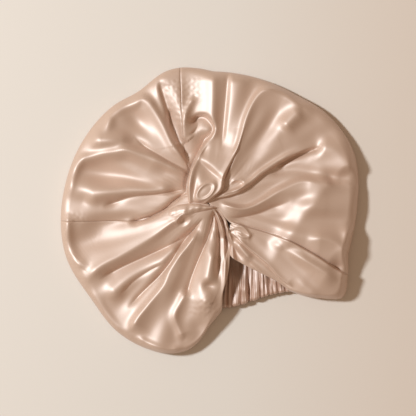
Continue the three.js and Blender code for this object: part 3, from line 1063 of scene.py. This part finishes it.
@dataclass
class Loop(Piece):
    """The part of the crown that comes down over the twist as a loop."""

    rows: int = 120
    columns: int = 100
    crowding: float = 1 / 15  # of the columns towards both edges
    lift: float = 0.15  # over the cloth under it
    marks_fade: tuple[float, float] = (56, 72)  # up the loop
    joins_crown: tuple[float, float] = (38, 62)  # up the loop
    left_edge: Edge = Edge(3.2, 1.6, 3.5, 5.0, 64, 72)
    right_edge: Edge = Edge(4.5, 1.4, 4.0, 4.0, 52, 64)
    left: Sequence[Row] = table_of(
        (-4, -25), (8, -25), (22, -25.4), (36, -22.8), (50, -17.3), (62, -11.8), (73, -6.5),
        (80, -0.5), (88, 6),
    )
    right: Sequence[Row] = table_of(
        (-4, -8), (0, -4), (7, 4), (17, 15), (30, 17.5), (45, 24.5), (62, 31), (88, 39.5)
    )
    rise: Sequence[Row] = table_of(
        (-4, -6), (1, 2), (6, 6.5), (17, 9.5), (31, 10.5), (44, 9), (56, 5.5), (66, 2.8),
        (76, 1.0), (88, -0.5),
    )
    flat: tuple[float, float] = (0.06, 0.11)
    area: float = 0.0058
    turned: bool = True

    def grid(self) -> Array:
        """Works out the loop's outer face.

        Returns:
            Places in metres, by row up the loop and column across it.
        """
        y = np.linspace(self.left[0].at, self.left[-1].at, self.rows + 1)[:, None]
        share = np.linspace(0, 1, self.columns + 1)[None, :]
        share = share - self.crowding * np.sin(2 * math.pi * share)
        left, right = through(self.left, y), through(self.right, y)
        wide = right - left
        x = left + wide * share
        y = np.broadcast_to(y, x.shape)
        from_left, from_right = share * wide, (1 - share) * wide
        arch = through(self.rise, y) * rounded(from_left, self.left_edge.round)
        arch = arch * rounded(from_right, self.right_edge.round)
        beads = self.left_edge.beaded(from_left) + self.right_edge.beaded(from_right)
        fade = 1 - smooth(y, *self.marks_fade)
        dips = self.left_edge.dip(from_left, y) + self.right_edge.dip(from_right, y)
        marks = sum(mark.height(x, y) for mark in LOOP_MARKS)
        top = smooth(y, *self.joins_crown)
        bearing = self.relief.bearing_of(x, y)
        base = self.relief.dome(np.hypot(x, y), through(OUTLINE, bearing)) * (1 - top)
        base = base + self.relief.at(x, y) * top
        height = base + arch + (beads + marks) * fade - dips + self.lift
        return self.relief.place(x, y, height)


@dataclass(frozen=True)
class Wave:
    """A small wave of a gathered piece."""

    height: float
    along: float  # radians a millimetre along the piece
    across: float  # radians over the width of the piece
    phase: float = 0.0

    def at(self, along: Array, across: Array, shift: float | Array = 0.0) -> Array:
        """Gives the height of the wave.

        Args:
            along: how far along the piece each place is, in millimetres.
            across: its share of the way across the piece.
            shift: to add to the phase.

        Returns:
            The height at each place, in millimetres.
        """
        turn = self.along * along + self.across * across + self.phase + shift
        return self.height * np.sin(turn)


@dataclass
class Collar(Piece):
    """The gathered collar that the loop dives under."""

    rows: int = 160
    columns: int = 40
    high: Sequence[Row] = table_of(
        (-46, -5), (-38, -0.5), (-25, 1.8), (-12, 1.6), (-4, -0.5), (3, -1), (9, -2.5)
    )
    low: Sequence[Row] = table_of(
        (-46, -16), (-38, -16), (-22, -13), (-11, -9.5), (-2, -7), (4, -4.6), (9, -4.2)
    )
    rise: Sequence[Row] = table_of(
        (-46, 0), (-38, 2.5), (-25, 4.5), (-12, 4.8), (-2, 4), (4, 3), (9, 1)
    )
    gathers: tuple[Wave, ...] = (Wave(0.45, 0.42, 2), Wave(0.225, 0.83, -3, 1))
    highest: float = 0.62  # its share of the way across
    sunk: float = 1.2  # how far its edges lie under the cloth beside them
    flat: tuple[float, float] = (0.06, 0.02)
    area: float = 0.001

    def grid(self) -> Array:
        """Works out the collar's outer face.

        Returns:
            Places in metres, by row along the collar and column across it.
        """
        x = np.linspace(self.high[0].at, self.high[-1].at, self.rows + 1)[:, None]
        share = np.linspace(0, 1, self.columns + 1)[None, :]
        low, high = through(self.low, x), through(self.high, x)
        y = low + (high - low) * share
        x = np.broadcast_to(x, y.shape)
        top = through(self.rise, x) + sum(wave.at(x, share) for wave in self.gathers)
        over = np.clip((share - self.highest) / (1 - self.highest), 0, 1)
        bulge = smooth(share, 0, self.highest) * np.sqrt(1 - over**2)
        height = self.relief.at(x, y) + top * bulge - self.sunk * (1 - bulge)
        return self.relief.place(x, y, height)


@dataclass
class Nape(Piece):
    """The nape, ruched on elastic."""

    columns: int = 260
    rows: int = 60
    hem: Sequence[Row] = table_of(
        (10, -114), (20, -115), (28, -113.4), (39, -110.6), (47, -108), (56, -104.5), (67, -101),
        (78, -98.6), (92, -96),
    )
    inside: Sequence[Row] = table_of((10, -48), (50, -50), (92, -52))
    creases: Sequence[Row] = table_of(
        (19, 3), (24, 3.5), (34, 3), (43.5, 7), (47, 3), (56, 4.5), (61, 2), (66, 4), (71, 2),
        (76, 3.5), (84, 3),
    )
    crease_width: float = 1.3
    crease_growth: float = 1.6  # of that width, over the way inwards
    crease_depth: float = 4.0  # of a crease that takes a pleat right down
    wander: Wave = Wave(2.6, 1, 4)  # of the creases from side to side
    middle: float = 50.0  # what the pleats lean towards on their way inwards
    lean: float = 0.12
    crowding: float = 0.9  # of the rows towards the hem
    scallop: float = 1.6
    gathers: tuple[Wave, ...] = (Wave(0.45, 1.3, 3), Wave(0.25, 2.7, -4))
    drift: Wave = Wave(1.5, 0.31, 0)  # of the first gathers
    crumples: tuple[Wave, ...] = (Wave(2.6, 0.23, 5, 1.0), Wave(1, -0.09, 6.5))
    crumple_from: tuple[float, float] = (0.1, 0.3)
    low: float = 3.4
    band: float = 5.5  # how far the ruched band stands up over that
    pleat_rise: float = 4.0
    ruched: float = 0.5  # the share of the gathers that shows in the band
    flattened: float = 0.15  # and past it
    band_ends: tuple[float, float] = (0.25, 0.95)
    hem_height: float = 0.8
    hem_round: float = 0.07  # the share of the way inwards over which the hem rounds over
    flat: tuple[float, float] = (0.16, 0.07)
    area: float = 0.006

    def grid(self) -> Array:
        """Works out the nape's upper face.

        Returns:
            Places in metres, by column along the hem and row inwards.
        """
        x = np.linspace(self.hem[0].at, self.hem[-1].at, self.columns + 1)[:, None]
        inward = np.linspace(0, 1, self.rows + 1)[None, :] ** self.crowding
        hem, inside = through(self.hem, x), through(self.inside, x)
        fan = x + (self.middle - x) * self.lean * inward
        width = self.crease_width + self.crease_growth * inward
        sunk = 0
        for crease in self.creases:
            aside = x - crease.at + inward * self.wander.at(crease.at, inward)
            sunk = sunk + crease.value * np.exp(-np.abs(aside) / width)
        pleat = 1 - sunk / self.crease_depth
        first, second = self.gathers
        small = first.at(x, inward, self.drift.at(x, 0)) + second.at(x, inward)
        crumple = math.prod(wave.at(x, inward) for wave in self.crumples)
        y = hem - self.scallop * (pleat - 0.5) + (inside - hem) * inward
        lift = self.band + self.pleat_rise * pleat + self.ruched * small
        fall = 1 - smooth(inward, *self.band_ends)
        height = self.low + lift * fall + self.flattened * small * (1 - fall)
        height = height + crumple * smooth(inward, *self.crumple_from)
        front = rounded(inward, self.hem_round)
        height = self.hem_height + (height - self.hem_height) * front
        return self.relief.place(fan, y, height)


@dataclass
class Back(Piece):
    """The back of the crown, flat on the surface."""

    columns: int = 220
    rows: int = 50
    inset: float = 14.0
    first_reach: float = 2.0
    rise: float = 1.0
    rippled: float = 0.35
    notch: Sequence[Row] = table_of(
        (-47, 70), (-44.5, 117), (-39, 150), (-37, 160), (0, 200), (268, 200), (272, 110), (275, 50),
        (285, 51), (300, 57), (312.9, 70)
    )
    flat: tuple[float, float] = (0.32, 0.31)
    area: float = 0.0625
    held: str = "laid"
    turned: bool = True

    def grid(self) -> Array:
        """Works out the back's upper face.

        Returns:
            Places in metres, by column round the twist and row outwards.
        """
        bearing = np.linspace(self.notch[0].at, self.notch[-1].at, self.columns + 1)[:, None]
        full = np.minimum(through(OUTLINE, bearing) - self.inset, through(self.notch, bearing))
        out = np.linspace(0, 1, self.rows + 1)[None, :]
        reach = self.first_reach + (full - self.first_reach) * out
        bearing = np.broadcast_to(bearing, reach.shape)
        ripple = self.relief.ripples.height(bearing, reach).clip(-1, 1)
        height = self.rise + self.rippled * ripple
        angle = np.radians(bearing)
        return self.relief.place(reach * np.cos(angle), reach * np.sin(angle), height)


# ---------------- studio
@dataclass(frozen=True)
class Lamp:
    """A soft lamp, as where it stands and what it gives."""

    name: str
    bearing: float
    elevation: float
    away: float
    size: float
    watts: float
    colour: tuple[float, float, float]

    def build(self) -> bpy.types.Object:
        """Makes the lamp, facing the twist.

        Returns:
            The lamp.
        """
        data = bpy.data.lights.new(self.name, "AREA")
        data.shape, data.size, data.energy, data.color = "DISK", self.size, self.watts, self.colour
        lamp = bpy.data.objects.new(self.name, data)
        round_z, up = math.radians(self.bearing), math.radians(self.elevation)
        lamp.location = (
            self.away * math.cos(up) * math.cos(round_z),
            self.away * math.cos(up) * math.sin(round_z),
            self.away * math.sin(up),
        )
        lamp.rotation_euler = (math.pi / 2 - up, 0, round_z + math.pi / 2)
        bpy.context.scene.collection.objects.link(lamp)
        return lamp


@dataclass
class Studio:
    """The floor, the lamps and the camera."""

    aim: tuple[float, float] = (-0.0018, 0.0026)
    height: float = 1.6
    seen: float = 0.466
    # Painted shade: the floor's colour darkens towards +X, away from the key lamp, as the light falls off.
    floor_near: tuple[float, float, float] = (0.745, 0.665, 0.585)
    floor_painted_shade: tuple[float, float, float] = (0.725, 0.61, 0.515)
    floor_reach: float = 4.0
    floor_drop: float = 0.0003
    floor_turn: float = 0.02  # where across the floor its far colour begins
    floor_fade: float = 5.0  # how much of it comes in to a metre
    floor_roughness: float = 0.9
    floor_specular: float = 0.1
    fill: float = 0.38
    fill_colour: tuple[float, float, float] = (1.0, 0.76, 0.56)
    lamps: tuple[Lamp, ...] = (
        Lamp("key", 164, 46, 3.2, 0.4, 101.0, (0.87, 0.97, 1.05)),
    )

    def build(self) -> None:
        """Makes the floor, the lamps, the fill light and the camera."""
        self.build_floor()
        for lamp in self.lamps:
            lamp.build()
        world = bpy.data.worlds.new("fill")
        world.use_nodes = True
        background = world.node_tree.nodes["Background"]
        background.inputs["Color"].default_value = (*self.fill_colour, 1.0)
        background.inputs["Strength"].default_value = self.fill
        bpy.context.scene.world = world
        bpy.context.scene.view_settings.view_transform = "Standard"
        self.build_camera()

    def build_floor(self) -> None:
        """Makes the floor."""
        reach = self.floor_reach
        corners = [(-reach, -reach, 0), (reach, -reach, 0), (reach, reach, 0), (-reach, reach, 0)]
        mesh = bpy.data.meshes.new("floor")
        mesh.from_pydata(corners, [], [(0, 1, 2, 3)])
        floor = bpy.data.objects.new("floor", mesh)
        floor.location.z = -self.floor_drop
        nodes = Nodes("paper")
        place = nodes.add("ShaderNodeTexCoord")["Object"]
        across = nodes.add("ShaderNodeSeparateXYZ", Vector=place)["X"]
        # Painted shade: the floor darkens towards +X, away from the key lamp.
        share = (across - self.floor_turn) * self.floor_fade
        tone = nodes.mix(share, self.floor_near, self.floor_painted_shade)
        nodes.feed("Base Color", tone)
        nodes.shader.inputs["Roughness"].default_value = self.floor_roughness
        nodes.shader.inputs["Specular IOR Level"].default_value = self.floor_specular
        mesh.materials.append(nodes.material)
        bpy.context.scene.collection.objects.link(floor)

    def build_camera(self) -> None:
        """Makes the camera, looking straight down."""
        data = bpy.data.cameras.new("camera")
        data.lens = data.sensor_width * self.height / self.seen
        camera = bpy.data.objects.new("camera", data)
        camera.location = (*self.aim, self.height)
        bpy.context.scene.collection.objects.link(camera)
        bpy.context.scene.camera = camera


def main() -> None:
    """Builds every piece, then the studio."""
    relief = Relief()
    pieces = (
        Panel(
            relief, SATIN, "crown_left_cloth", "crown_left", flat=(0.25, 0.2), area=0.0242,
            start_edge=CENTRE_SEAM, stop_edge=LEFT_SEAM, first_reach=18, columns=230,
        ),
        Panel(
            relief, SATIN, "crown_right_cloth", "crown_right", flat=(0.3, 0.25), area=0.0435,
            start_edge=RIGHT_SEAM, stop_edge=CENTRE_SEAM, first_reach=0.4, columns=300,
        ),
        Panel(
            relief, SATIN, "front_band_left_cloth", "front_band_left", flat=(0.26, 0.2), area=0.034,
            start_edge=LEFT_SEAM, stop_edge=LEFT_BRIM, first_reach=0.4, columns=260,
        ),
        Panel(
            relief, SATIN, "front_band_right_cloth", "front_band_right", flat=(0.18, 0.08), area=0.0094,
            start_edge=RIGHT_BRIM, stop_edge=RIGHT_SEAM, first_reach=31,
        ),
        Loop(relief, SATIN, "twist_loop_cloth", "twist_loop"),
        Collar(relief, SATIN, "knot_collar_cloth", "knot_collar"),
        Nape(relief, RUCHE_PAINTED_SHADE, "nape_cloth", "nape_casing"),
        Back(relief, BACKING, "back_cloth", "back_panel"),
    )
    for piece in pieces:
        piece.build()
    Studio().build()


if __name__ == "__main__":
    main()
